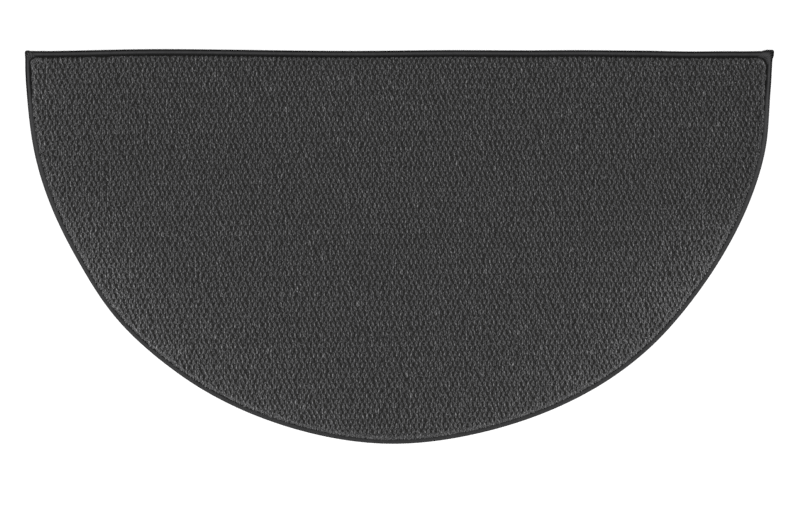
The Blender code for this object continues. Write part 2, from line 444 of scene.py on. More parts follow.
@dataclass(frozen=True)
class BackingFinish:
    """Open plain weave, greyer underneath, with painted shade on its top under the pile yarn and more on its
    sloping border beside the tape.
    """

    colour: tuple[float, float, float] = (0.075, 0.073, 0.070)
    weave_pitch: float = 2.2 * MM
    under_share: float = 0.6
    weave_dark: float = 0.55
    weave_light: float = 1.2
    stain_scale: float = 60.0
    stain: float = 0.12
    top_span: tuple[float, float] = (0.4 * MM, 1.0 * MM)
    ground_shade_share: float = 0.29
    border_span: tuple[float, float] = (2.0 * MM, 2.3 * MM)
    groove_shade_share: float = 0.35
    relief: float = 0.45 * MM

    def make(self) -> bpy.types.Material:
        """Returns the material."""
        sheet = FinishSheet("woven_backing", roughness=0.9, sheen=0.0, shine=0.05)
        x, y, z = sheet.parts(sheet.place)
        sides = [sheet.remap(sheet.ridges(way, self.weave_pitch), 0.0, 1.0, -1.0, 1.0) for way in (x, y)]
        strands = [sheet.ridges(way, self.weave_pitch / 2.0) for way in (x, y)]
        weave = sheet.product(
            sheet.calculate("MAXIMUM", *strands),
            sheet.remap(sheet.product(*sides), -1.0, 1.0, self.under_share, 1.0),
        )
        shade = sheet.product(
            sheet.remap(weave, 0.0, 1.0, self.weave_dark, self.weave_light),
            sheet.mottle(self.stain_scale, self.stain, spread=0.15, detail=4.0),
            # Painted shade: the cloth's top darkens under the pile, and its border darkens where it slopes
            # into the groove beside the tape
            sheet.remap(z, *self.top_span, 1.0, self.ground_shade_share),
            sheet.remap(z, *self.border_span, 1.0, self.groove_shade_share),
        )
        sheet.colour(self.colour, shade)
        sheet.bump(weave, self.relief)
        return sheet.material


@dataclass(frozen=True)
class ThreadFinish:
    """Dark sewing thread with a slight shine."""

    colour: tuple[float, float, float] = (0.009, 0.009, 0.009)
    turns: float = 4.0
    twist_dark: float = 0.75
    twist_light: float = 1.2
    fuzz_scale: float = 700.0
    fuzz: float = 0.2
    relief: float = 0.08 * MM

    def make(self) -> bpy.types.Material:
        """Returns the material."""
        sheet = FinishSheet("sewing_thread", roughness=0.6, sheen=0.0, shine=0.2)
        along, around, _ = sheet.uv(YARN_MAP)
        twist = sheet.ridges(sheet.calculate("MULTIPLY_ADD", along, self.turns, around), 1.0)
        shade = sheet.product(
            sheet.remap(twist, 0.0, 1.0, self.twist_dark, self.twist_light),
            sheet.mottle(self.fuzz_scale, self.fuzz, spread=0.2),
        )
        sheet.colour(self.colour, shade)
        sheet.bump(twist, self.relief)
        return sheet.material


@dataclass(frozen=True)
class FloorFinish:
    """Plain pale floor."""

    colour: tuple[float, float, float] = (0.66, 0.66, 0.66)
    cloud_scale: float = 30.0
    cloud: float = 0.015

    def make(self) -> bpy.types.Material:
        """Returns the material."""
        sheet = FinishSheet("pale_floor", roughness=0.95, sheen=0.0, shine=0.1)
        sheet.colour(self.colour, sheet.mottle(self.cloud_scale, self.cloud, spread=0.2))
        return sheet.material


@dataclass
class EdgePath:
    """The rug's edge as matching points, counter-clockwise from the right corner.

    Attributes:
        nose: points on the tape's outermost line.
        wall: the matching points on the pile's wall, inside the tape.
        width: distance between the two lines, square to the edge.
        place: distance along the edge.
        left_corner: place of the left corner.
        length: length of the whole edge.
    """

    nose: np.ndarray
    wall: np.ndarray
    width: np.ndarray
    place: np.ndarray
    left_corner: float
    length: float

    def inset(self, distance: np.ndarray) -> np.ndarray:
        """Returns points at a distance inside the edge, one for each sample."""
        share = (distance / self.width)[:, None]
        return self.nose + (self.wall - self.nose) * share

    def corner_distance(self) -> tuple[np.ndarray, np.ndarray]:
        """Returns each sample's distance from the right and the left corner."""
        right = np.minimum(self.place, self.length - self.place)
        return right, np.abs(self.place - self.left_corner)

    def sideways(self) -> np.ndarray:
        """Returns how far each sample's outward direction turns to the left or right."""
        outward = self.nose - self.wall
        return np.abs(outward[:, 0]) / np.linalg.norm(outward, axis=1)

    def near_corner(self) -> np.ndarray:
        """Returns 1 for a sample near a corner, 0 for one far from both, eased in between."""
        return fade_share(CORNER_NEAR, CORNER_FAR, np.minimum(*self.corner_distance()))

    def part(self, chosen: np.ndarray) -> "EdgePath":
        """Returns a shorter path of the chosen samples, in the given order."""
        nose, wall = self.nose[chosen], self.wall[chosen]
        return EdgePath(
            nose, wall, self.width[chosen], self.place[chosen], self.left_corner, self.length
        )


@dataclass
class EdgeSurvey:
    """Finds the rug's edge and the wall of its pile on the frame's own nodes."""

    nose_height: float = 2.7 * MM
    wall_height: float = 5.5 * MM
    reach: float = 1.0
    rays: int = 12000
    corner_zone: float = 30.0 * MM
    fine_step: float = 0.5 * MM
    plain_step: float = 1.3 * MM
    smoothing: float = 9.0 * MM
    easing: float = 1.6
    corner_slant: float = 1.2
    marks: int = 24

    def cast(self, names: list[str], height: float) -> np.ndarray:
        """Casts rays inward from all round the rug.

        Args:
            names: the nodes that the rays can meet.
            height: how high above the floor the rays travel.

        Returns:
            The points where they first meet a node, counter-clockwise.
        """
        points, faces = [], []
        for name in names:
            mesh = frame["nodes"][name].data
            start = len(points)
            points += [vertex.co.copy() for vertex in mesh.vertices]
            faces += [[start + index for index in face.vertices] for face in mesh.polygons]
        tree = BVHTree.FromPolygons(points, faces)
        found = []
        for turn in np.arange(self.rays) * TURN / self.rays:
            inward = Vector((-math.cos(turn), -math.sin(turn), 0.0))
            start = Vector((0.0, 0.0, height)) - inward * self.reach
            hit = tree.ray_cast(start, inward, self.reach)[0]
            if hit is not None:
                found.append((hit.x, hit.y))
        return np.array(found)

    def corners(self, points: np.ndarray) -> tuple[int, int]:
        """Returns which points are the right and the left corner."""
        reach = points[:, 1] * self.corner_slant
        return int((points[:, 0] + reach).argmax()), int((reach - points[:, 0]).argmax())

    def runs(self, points: np.ndarray) -> tuple[np.ndarray, np.ndarray]:
        """Splits an outline into its straight run and its curved run."""
        right, left = self.corners(points)
        turned = np.roll(points, -right, axis=0)
        split = (left - right) % len(points)
        return turned[: split + 1], np.concatenate([turned[split:], turned[:1]])

    def smooth(self, run: np.ndarray) -> np.ndarray:
        """Takes the facets out of a run, away from its corners."""
        total = path_places(run)[-1]
        even = along_path(run, np.arange(0.0, total, self.fine_step))
        radius = int(3.0 * self.smoothing / self.fine_step)
        offsets = np.arange(-radius, radius + 1) * self.fine_step
        weights = np.exp(-0.5 * (offsets / self.smoothing) ** 2)
        weights /= weights.sum()
        padded = np.pad(even, ((radius, radius), (0, 0)), mode="edge")
        soft = np.stack([np.convolve(column, weights, mode="valid") for column in padded.T], axis=1)
        place = path_places(even)
        from_end = np.minimum(place, place[-1] - place)
        share = smooth_share(self.corner_zone, self.easing * self.corner_zone, from_end)[:, None]
        return np.concatenate([even * (1.0 - share) + soft * share, run[-1:]])

    def sample_places(self, total: float) -> np.ndarray:
        """Returns places along a run, closer together near its corners."""
        near = np.arange(0.0, self.corner_zone, self.fine_step)
        count = int((total - 2.0 * self.corner_zone) / self.plain_step)
        middle = np.linspace(self.corner_zone, total - self.corner_zone, count)
        return np.concatenate([near, middle, total - near[::-1]])

    def match(self, nose: np.ndarray, wall: np.ndarray) -> tuple[np.ndarray, ...]:
        """Pairs one run of the edge with the pile's wall inside it.

        Args:
            nose: points of the run on the tape's outermost line.
            wall: points of the run on the pile's wall.

        Returns:
            The sampled nose and wall points, their widths and their places.
        """
        total = path_places(nose)[-1]
        places = self.sample_places(total)
        outer = along_path(nose, places)
        marks = np.linspace(self.corner_zone, total - self.corner_zone, self.marks)
        wall_places = path_places(wall)
        feet = [
            wall_places[np.linalg.norm(wall - point, axis=1).argmin()]
            for point in along_path(nose, marks)
        ]
        matched = np.interp(
            places,
            np.concatenate([[0.0], marks, [total]]),
            np.concatenate([[0.0], feet, [wall_places[-1]]]),
        )
        inner = along_path(wall, matched)
        width = np.linalg.norm(outer - inner, axis=1)
        plain = (places >= self.corner_zone) & (places <= total - self.corner_zone)
        width = np.interp(places, places[plain], width[plain])
        return outer, inner, width, places

    def trace(self) -> EdgePath:
        """Returns the whole edge."""
        tapes = self.cast(["curved_binding", "straight_binding"], self.nose_height)
        field = self.cast(["rug_field"], self.wall_height)
        found = [
            self.match(self.smooth(nose), self.smooth(wall))
            for nose, wall in zip(self.runs(tapes), self.runs(field))
        ]
        straight, curved = found
        left_corner = straight[3][-1]
        nose, wall, width = (
            np.concatenate([straight[k][:-1], curved[k][:-1]]) for k in range(3)
        )
        place = np.concatenate([straight[3][:-1], left_corner + curved[3][:-1]])
        return EdgePath(nose, wall, width, place, left_corner, left_corner + curved[3][-1])


def loft(
    name: str, grid: np.ndarray, along: np.ndarray, across: np.ndarray, bake_rows: int
) -> bpy.types.Mesh:
    """Skins a row of closed sections and closes its two ends.

    Args:
        name: the mesh's name.
        grid: the sections' points, sections by points by three.
        along: each section's distance along the piece.
        across: each point's distance round the section, with one more to close it.
        bake_rows: how many rows the bake map is cut into.

    Returns:
        The closed mesh, with a cloth map in metres and a bake map.
    """
    sections, size = grid.shape[:2]
    first = np.arange(sections - 1)[:, None] * size
    here = first + np.arange(size)[None, :]
    there = first + (np.arange(size)[None, :] + 1) % size
    quads = np.stack([here, there, there + size, here + size], axis=-1).reshape(-1, 4)
    last = (sections - 1) * size
    middles = (sections * size, sections * size + 1)
    caps = [[(k + 1) % size, k, middles[0]] for k in range(size)]
    caps += [[last + k, last + (k + 1) % size, middles[1]] for k in range(size)]
    mesh = bpy.data.meshes.new(name)
    points = np.concatenate([grid.reshape(-1, 3), [grid[0].mean(axis=0), grid[-1].mean(axis=0)]])
    mesh.from_pydata(points.tolist(), [], quads.tolist() + caps)
    near, low = np.meshgrid(along[:-1], across[:-1], indexing="ij")
    far, high = np.meshgrid(along[1:], across[1:], indexing="ij")
    cloth = np.stack([near, low, near, high, far, high, far, low], axis=-1).reshape(-1, 4, 2)
    row_length = (along[-1] - along[0]) / bake_rows
    row = ((cloth[:, :, 0].mean(axis=1) - along[0]) / row_length).astype(int)
    row = np.minimum(row, bake_rows - 1)[:, None]
    bake = np.empty_like(cloth)
    bake[:, :, 0] = np.clip((cloth[:, :, 0] - along[0]) / row_length - row, 0.0, 1.0)
    bake[:, :, 1] = (row + BAKE_MARGIN + (1.0 - 2.0 * BAKE_MARGIN) * cloth[:, :, 1] / across[-1]) / bake_rows
    bare = np.zeros(len(caps) * 3 * 2)
    for title, places in ((CLOTH_MAP, cloth), (BAKE_MAP, bake)):
        map_faces(mesh, title, np.concatenate([places.ravel(), bare]))
    mesh.shade_smooth()
    face_outward(mesh)
    return mesh


class LoopForm(Enum):
    """How a loop stands: its width, height, bend aside, and its strands' parting and step."""

    PLAIN = (1.00, 1.00, 0.0, 1.0, 0.0)
    TIGHT = (0.90, 0.94, 0.5, 0.75, 0.5)
    FORKED = (1.04, 1.02, -0.3, 1.5, -0.3)
    BENT_LEFT = (0.96, 1.04, -1.1, 1.0, -0.7)
    BENT_RIGHT = (1.02, 0.96, 1.1, 1.1, 0.7)


@dataclass
class YarnLoop:
    """One loop of yarn, rising from its tail to a round head that dips into the pile.

    Attributes:
        name: what the loop is called.
        rings: for each ring from tail to head, its place, height, radius and parting in mm.
        sides: how many sides each strand has.
        strands: how many strands of yarn run side by side.
        flatness: a strand's height as a share of its width.
        tip: length of the strands' pointed ends in mm.
        bend: how much of a form's bend aside each end of the loop takes.
    """

    name: str
    rings: tuple[tuple[float, float, float, float], ...]
    sides: int
    strands: int = 1
    flatness: float = 0.9
    tip: float = 0.6
    bend: float = 0.6

    def strand(self, form: LoopForm, offset: float) -> np.ndarray:
        """Works out the rings and tips of one strand.

        Args:
            form: the loop's proportions.
            offset: which side of the loop's middle the strand lies on, from -1 to 1.

        Returns:
            The rings' points, followed by the first and the last tip.
        """
        wide, tall, aside, parting, step = form.value
        place, height, radius, parted = np.array(self.rings).T * MM
        share = np.linspace(-1.0, 1.0, len(place))
        spread = offset * parted * np.interp(share, [-1.0, 1.0], [1.0, parting])
        x = aside * self.bend * MM * share + spread
        centres = np.stack([x, place, height * tall + 0.5 * offset * step * MM], axis=1)
        heading = np.gradient(centres, axis=0)
        heading /= np.linalg.norm(heading, axis=1)[:, None]
        side = np.cross(heading, [0.0, 0.0, 1.0])
        side /= np.linalg.norm(side, axis=1)[:, None]
        upward = np.cross(side, heading)
        turns = np.arange(self.sides) * TURN / self.sides
        sideways = side[:, None, :] * np.cos(turns)[None, :, None] * wide
        raised = upward[:, None, :] * np.sin(turns)[None, :, None] * self.flatness
        grid = centres[:, None, :] + radius[:, None, None] * (sideways + raised)
        tips = [centres[0] - heading[0] * self.tip * MM, centres[-1] + heading[-1] * self.tip * MM]
        return np.concatenate([grid.reshape(-1, 3), tips])

    def build(self, form: LoopForm) -> bpy.types.Object:
        """Builds one form of the loop, as closed tubes of a few dozen faces.

        Args:
            form: the loop's proportions.

        Returns:
            The loop, its middle over the origin and its head towards -Y.
        """
        offsets = np.linspace(-1.0, 1.0, self.strands) if self.strands > 1 else [0.0]
        tubes = [self.strand(form, float(offset)) for offset in offsets]
        return self.skin(self.name + "_" + form.name.lower(), tubes, len(self.rings))

    def skin(self, name: str, tubes: list[np.ndarray], rings: int) -> bpy.types.Object:
        """Joins rings of points and their tips into closed tubes with a yarn map.

        Args:
            name: the object's name.
            tubes: each tube's ring points, followed by its first and last tip.
            rings: how many rings each tube has.

        Returns:
            The tubes, as one object.
        """
        faces, maps = [], []
        for tube, points in enumerate(tubes):
            base = tube * len(points)
            ends = base + rings * self.sides
            for side in range(self.sides):
                other = (side + 1) % self.sides
                low, high = tube + side / self.sides, tube + (side + 1) / self.sides
                middle = (low + high) / 2.0
                for ring in range(rings - 1):
                    start = base + ring * self.sides
                    stop = start + self.sides
                    near, far = (ring + 1) / (rings + 1), (ring + 2) / (rings + 1)
                    faces.append([start + side, start + other, stop + other, stop + side])
                    maps += [(near, low), (near, high), (far, high), (far, low)]
                first, last = 1.0 / (rings + 1), rings / (rings + 1)
                faces.append([base + other, base + side, ends])
                maps += [(first, high), (first, low), (0.0, middle)]
                stop = base + (rings - 1) * self.sides
                faces.append([stop + side, stop + other, ends + 1])
                maps += [(last, low), (last, high), (1.0, middle)]
        mesh = bpy.data.meshes.new(name)
        mesh.from_pydata(np.concatenate(tubes).tolist(), [], faces)
        map_faces(mesh, YARN_MAP, np.array(maps))
        mesh.shade_smooth()
        face_outward(mesh)
        return bpy.data.objects.new(name, mesh)


TALL_LOOP = YarnLoop(
    "tall_loop",
    rings=(
        (5.3, 2.5, 0.90, 0.8),
        (2.0, 4.9, 1.25, 1.1),
        (-2.4, 5.4, 1.38, 1.2),
        (-4.6, 3.6, 1.14, 1.1),
    ),
    sides=4,
    strands=2,
)
SHORT_LOOP = YarnLoop(
    "short_loop",
    rings=((2.5, 1.2, 1.10, 0.0), (0.2, 3.1, 1.45, 0.0), (-2.2, 1.2, 1.10, 0.0)),
    sides=3,
)


# For each random turn or growth of a loop: its lowest and highest share of a spread
LOOP_CHANCES = (
    (-1.0, 1.0, "Turn Spread"),
    (-0.6, 0.6, "Lean Spread"),
    (-1.0, 1.0, "Lean Spread"),
    (-1.0, 1.0, "Size Spread"),
    (-1.0, 0.7, "Size Spread"),
)


@dataclass
class LoopPile:
    """Staggered rows of one kind of loop, which cover the rug inside its tape.

    Attributes:
        name: what the rows are called.
        loop: the loop that stands in them.
        bands: how many pieces they are made in.
        seed: starts the rows' random choices.
        length: the loop's length as seen from above.
        shift: how far along and across the rows are moved from the first grid.
    """

    name: str
    loop: YarnLoop
    bands: int
    seed: int
    length: float
    shift: tuple[float, float] = (0.0, 0.0)
    pitch: float = 7.6 * MM
    row_pitch: float = 8.0 * MM
    row_rise: float = math.radians(0.74)
    station: float = 0.5 * MM
    half_width: float = 2.3 * MM
    head_overhang: float = 0.3 * MM
    tail_gap: float = 1.1 * MM
    shortest: float = 0.26
    place_spread: float = 0.2 * MM
    turn: float = math.radians(3.0)
    turn_spread: float = math.radians(9.0)
    lean_spread: float = math.radians(9.0)
    size_spread: float = 0.09
    tone_spread: float = 0.03
    blend_spread: float = 0.25
    tone_limits: tuple[float, float] = (0.45, 2.2)
    blend_limit: float = 0.6
    row_spread: float = 0.02
    row_swing: float = 0.09
    speck_share: float = 0.01
    speck_gain: float = 0.5
    rim_light_gain: float = 1.0
    rim_base: float = 0.17
    rim_reach: float = 70.0 * MM
    lit_span: tuple[float, float] = (-60.0 * MM, 120.0 * MM)
    left_lit: float = 0.38
    rim_pitch: float = 4.4 * MM
    rim_inset: float = 2.4 * MM
    side_inset: float = 2.2 * MM
    corner_reach: float = 16.0 * MM
    grid_reach: float = 0.62
    cell_margin: float = 0.04

    def limits(self, edge: EdgePath, x: np.ndarray) -> tuple[np.ndarray, np.ndarray]:
        """Returns the lowest and highest y that the pile reaches at each x."""
        start, stop = edge.wall, np.roll(edge.wall, -1, axis=0)
        stations = np.arange(edge.wall[:, 0].min(), edge.wall[:, 0].max(), self.station)
        span = np.where(start[:, 0] == stop[:, 0], 1.0, stop[:, 0] - start[:, 0])
        share = (stations[:, None] - start[None, :, 0]) / span[None, :]
        crossing = start[None, :, 1] + share * (stop - start)[None, :, 1]
        met = (share >= 0.0) & (share < 1.0)
        lowest = np.where(met, crossing, 1.0).min(axis=1)
        highest = np.where(met, crossing, -1.0).max(axis=1)
        low = np.interp(x, stations, lowest, left=1.0, right=1.0)
        high = np.interp(x, stations, highest, left=-1.0, right=-1.0)
        return low, high

    def rim_points(self, edge: EdgePath) -> np.ndarray:
        """Returns places for extra loops along the pile's curved wall and round its corners."""
        before = np.flatnonzero(edge.place >= edge.left_corner - self.corner_reach)
        after = np.flatnonzero(edge.place <= self.corner_reach)
        chosen = np.concatenate([before, after])
        wall, curve = edge.wall[chosen], edge.nose[chosen]
        inward = (wall - curve) / np.linalg.norm(wall - curve, axis=1)[:, None]
        places = path_places(wall)
        even = np.arange(0.0, places[-1], self.rim_pitch)
        inward = np.stack([np.interp(even, places, part) for part in inward.T], axis=1)
        from_end = np.minimum(even, places[-1] - even)
        inset = self.rim_inset + self.side_inset * fade_share(CORNER_NEAR, CORNER_FAR, from_end)
        return along_path(wall, even) + inward * inset[:, None]

    def painted_rim_light(self, edge: EdgePath, x: np.ndarray, y: np.ndarray) -> np.ndarray:
        """Returns the painted light on the pile near the curve, strongest low down and where the edge faces
        left or right.
        """
        split = int(np.searchsorted(edge.place, edge.left_corner))
        curve = edge.nose[split:]
        sideways = edge.sideways()[split:]
        nearest = KDTree(len(curve))
        for index, (px, py) in enumerate(curve):
            nearest.insert((px, py, 0.0), index)
        nearest.balance()
        found = [nearest.find((px, py, 0.0)) for px, py in zip(x, y)]
        away = np.array([hit[2] for hit in found])
        side = sideways[[hit[1] for hit in found]]
        low = fade_share(*self.lit_span, y)
        lit_share = low + (1.0 - low) * np.where(x < 0.0, self.left_lit, 0.0)
        sides = self.rim_base + (1.0 - self.rim_base) * side
        return self.rim_light_gain * np.exp(-away / self.rim_reach) * lit_share * sides

    def plan(self, edge: EdgePath) -> dict[str, np.ndarray]:
        """Works out where each loop stands.

        Args:
            edge: the rug's edge.

        Returns:
            Each loop's place, length share, tone and its strands' difference in tone.
        """
        chance = np.random.default_rng(self.seed)
        rows, columns = (
            np.arange(-int(self.grid_reach / pitch), int(self.grid_reach / pitch) + 1)
            for pitch in (self.row_pitch, self.pitch)
        )
        row, column = (a.ravel() for a in np.meshgrid(rows, columns, indexing="ij"))
        x = (column + 0.5 * (row % 2)) * self.pitch + self.shift[0]
        y = row * self.row_pitch + x * math.tan(self.row_rise) + self.shift[1]
        rim = self.rim_points(edge)
        x, y = np.concatenate([x, rim[:, 0]]), np.concatenate([y, rim[:, 1]])
        row = np.concatenate([row, np.zeros(len(rim), dtype=int)])
        x = x + chance.normal(0.0, self.place_spread, len(x))
        y = y + chance.normal(0.0, self.place_spread, len(y))
        row_tone = chance.normal(0.0, self.row_spread, len(rows))
        row_tone = row_tone + self.row_swing * (rows % 2 - 0.5)
        tone = 1.0 + row_tone[row - rows[0]] + chance.normal(0.0, self.tone_spread, len(x))
        tone = tone + (chance.random(len(x)) < self.speck_share) * self.speck_gain
        # Painted light on the pile near the curve's lower sides, carried in the loops' tone
        tone = tone * (1.0 + self.painted_rim_light(edge, x, y))
        blend = chance.normal(0.0, self.blend_spread, len(x))
        phase = chance.random(len(x))
        left_low, left_high = self.limits(edge, x - self.half_width)
        right_low, right_high = self.limits(edge, x + self.half_width)
        low = np.maximum(left_low, right_low) - self.head_overhang
        high = np.minimum(left_high, right_high) - self.tail_gap
        start = np.maximum(y - self.length / 2.0, low)
        stop = np.minimum(y + self.length / 2.0, high)
        share = (stop - start) / self.length
        kept = share > self.shortest
        return {
            "x": x[kept],
            "y": ((start + stop) / 2.0)[kept],
            "share": share[kept],
            "tone": np.clip(tone[kept], *self.tone_limits),
            "blend": np.clip(blend[kept], -self.blend_limit, self.blend_limit),
            "phase": phase[kept],
        }

    def tree(self) -> NodeTree:
        """Returns the tree that stands a loop on each point."""
        spreads = {"Turn": "Float", "Turn Spread": "Float", "Lean Spread": "Float", "Size Spread": "Float"}
        tree = NodeTree("loop_rows", {"Loop Forms": "Collection", **spreads, "Yarn": "Material"})
        swing, nod, roll, grow, swell = (
            tree.product(tree.random(low, high, self.seed + number), tree.given(spread))
            for number, (low, high, spread) in enumerate(LOOP_CHANCES, start=1)
        )
        turn = tree.calculate("ADD", swing, tree.given("Turn"))
        width = tree.calculate("ADD", grow, 1.0)
        height = tree.calculate("ADD", swell, 1.0)
        length = tree.step("GeometryNodeInputNamedAttribute", {"Name": "share"}, data_type="FLOAT")
        forms = tree.step(
            "GeometryNodeCollectionInfo",
            {"Collection": tree.given("Loop Forms"), "Separate Children": True, "Reset Children": True},
        )
        pick = tree.random(0.0, len(LoopForm) - 0.001, self.seed + len(LOOP_CHANCES) + 1)
        loops = tree.step(
            "GeometryNodeInstanceOnPoints",
            {
                "Points": tree.given("Geometry"),
                "Instance": forms.outputs[0],
                "Pick Instance": True,
                "Instance Index": tree.calculate("FLOOR", pick),
                "Rotation": tree.vector(nod, roll, turn),
                "Scale": tree.vector(width, length.outputs[0], height),
            },
        )
        tree.end(loops.outputs[0], tree.given("Yarn"))
        return tree

    def bake_map(self, mesh: bpy.types.Mesh, count: int) -> None:
        """Gives each loop its own cell of the bake map.

        Args:
            mesh: the realized loops.
            count: how many loops there are.
        """
        strand = np.zeros(len(mesh.vertices))
        mesh.attributes["strand"].data.foreach_get("value", strand)
        owner = np.zeros(len(mesh.loops), dtype=np.int32)
        mesh.loops.foreach_get("vertex_index", owner)
        yarn = np.zeros(len(mesh.loops) * 2)
        mesh.uv_layers[YARN_MAP].data.foreach_get("uv", yarn)
        yarn = yarn.reshape(-1, 2)
        cells = int(math.ceil(math.sqrt(count)))
        cell = np.round(strand[owner]).astype(int)
        corner = np.stack([cell % cells, cell // cells], axis=1)
        within = self.cell_margin + (1.0 - 2.0 * self.cell_margin) * yarn / [1.0, self.loop.strands]
        map_faces(mesh, BAKE_MAP, (corner + within) / cells)
        mesh.attributes.remove(mesh.attributes["strand"])

    def build(self, edge: EdgePath, yarn: bpy.types.Material) -> list[bpy.types.Object]:
        """Builds the pile.

        Args:
            edge: the rug's edge.
            yarn: the loops' material.

        Returns:
            One piece for each band of the rug.
        """
        forms = bpy.data.collections.new("loop_forms")
        for form in LoopForm:
            forms.objects.link(self.loop.build(form))
        tree = self.tree()
        plan = self.plan(edge)
        order = np.argsort(plan["x"], kind="stable")
        pieces = []
        for band, chosen in enumerate(np.array_split(order, self.bands), start=1):
            name = f"{self.name}_{band}"
            mesh = bpy.data.meshes.new(name)
            points = add_column(np.stack([plan["x"][chosen], plan["y"][chosen]], axis=1), 0.0)
            mesh.from_pydata(points.tolist(), [], [])
            for key in ("share", "tone", "blend", "phase"):
                store(mesh, key, plan[key][chosen])
            store(mesh, "strand", np.arange(len(chosen)))
            rows = new_piece(name + "_points", mesh)
            tree.put_on(
                rows,
                {
                    "Loop Forms": forms,
                    "Turn": self.turn,
                    "Turn Spread": self.turn_spread,
                    "Lean Spread": self.lean_spread,
                    "Size Spread": self.size_spread,
                    "Yarn": yarn,
                },
            )
            piece = plain_mesh(rows, name)
            self.bake_map(piece.data, len(chosen))
            pieces.append(piece)
        for loop in list(forms.objects):
            bpy.data.objects.remove(loop, do_unlink=True)
        bpy.data.collections.remove(forms)
        return pieces


TALL_ROWS = LoopPile("tall_rows", TALL_LOOP, bands=4, seed=SEED, length=9.8 * MM)
SHORT_ROWS = LoopPile(
    "short_rows",
    SHORT_LOOP,
    bands=2,
    seed=SEED + 100,
    length=5.6 * MM,
    shift=(0.5 * LoopPile.pitch, -0.9 * MM),
    place_spread=2.6 * MM,
    turn_spread=math.pi,
)


@dataclass
class Backing:
    """The woven cloth that holds the loops, with its border inside the folded tape."""

    ground: float = 1.9 * MM
    border_low: float = 1.1 * MM
    border_high: float = 3.2 * MM
    border_start: float = 3.4 * MM
    rounding: float = 0.2 * MM
    slope: float = 2.6 * MM
    every: int = 3

    def build(self, edge: EdgePath, weave: bpy.types.Material) -> bpy.types.Object:
        """Builds the cloth as one closed body.

        Args:
            edge: the rug's edge.
            weave: the cloth's material.

        Returns:
            The backing.
        """
        path = edge.part(np.arange(0, len(edge.place), self.every))
        start = np.full(len(path.place), self.border_start)
        # Each ring's distance from the edge and height, from the underside to the ground
        rings = (
            (path.width + self.rounding, 0.0),
            (path.width + self.rounding, self.border_low),
            (start, self.border_low + self.rounding),
            (start, self.border_high - self.rounding),
            (path.width + self.rounding / 2.0, self.border_high),
            (path.width + self.slope, self.ground),
        )
        points = np.concatenate([add_column(path.inset(distance), height) for distance, height in rings])
        count = len(path.place)
        here = np.arange((len(rings) - 1) * count)
        there = np.where((here + 1) % count == 0, here + 1 - count, here + 1)
        walls = np.stack([here, there, there + count, here + count], axis=1)
        faces = [*walls.tolist(), list(range(count))[::-1], [len(here) + k for k in range(count)]]
        mesh = bpy.data.meshes.new("rug_backing")
        mesh.from_pydata(points.tolist(), [], faces)
        face_outward(mesh)
        mesh.materials.append(weave)
        return new_piece("rug_backing", mesh)


